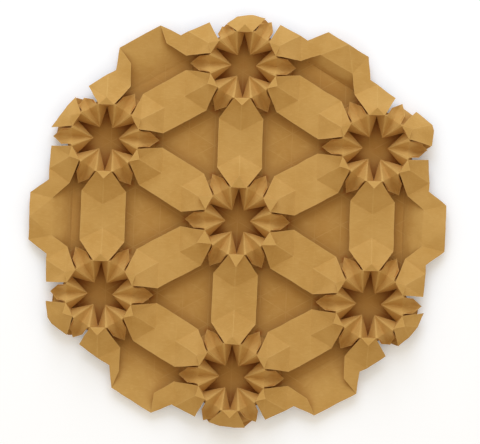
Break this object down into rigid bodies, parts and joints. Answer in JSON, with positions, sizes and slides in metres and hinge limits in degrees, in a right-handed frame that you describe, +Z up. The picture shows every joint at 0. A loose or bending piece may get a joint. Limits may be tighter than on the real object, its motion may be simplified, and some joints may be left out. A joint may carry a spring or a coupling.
{
  "type": "origami tessellation",
  "caption": "Origami tessellation: a rounded hexagon of ochre-brown paper folded into open star craters joined by raised petals, with flat triangular recesses between them.",
  "frame": {"origin": "on the resting plane, under the middle of the central star", "axes": "+Z up out of the folded face, +Y towards one outer star, +X towards the middle of one side"},
  "size_m": [0.2012, 0.1995, 0.016],
  "materials": {
    "paper": "matte"
  },
  "bodies": {
    "root": {"folded_sheet": "paper"}
  },
  "joints": []
}
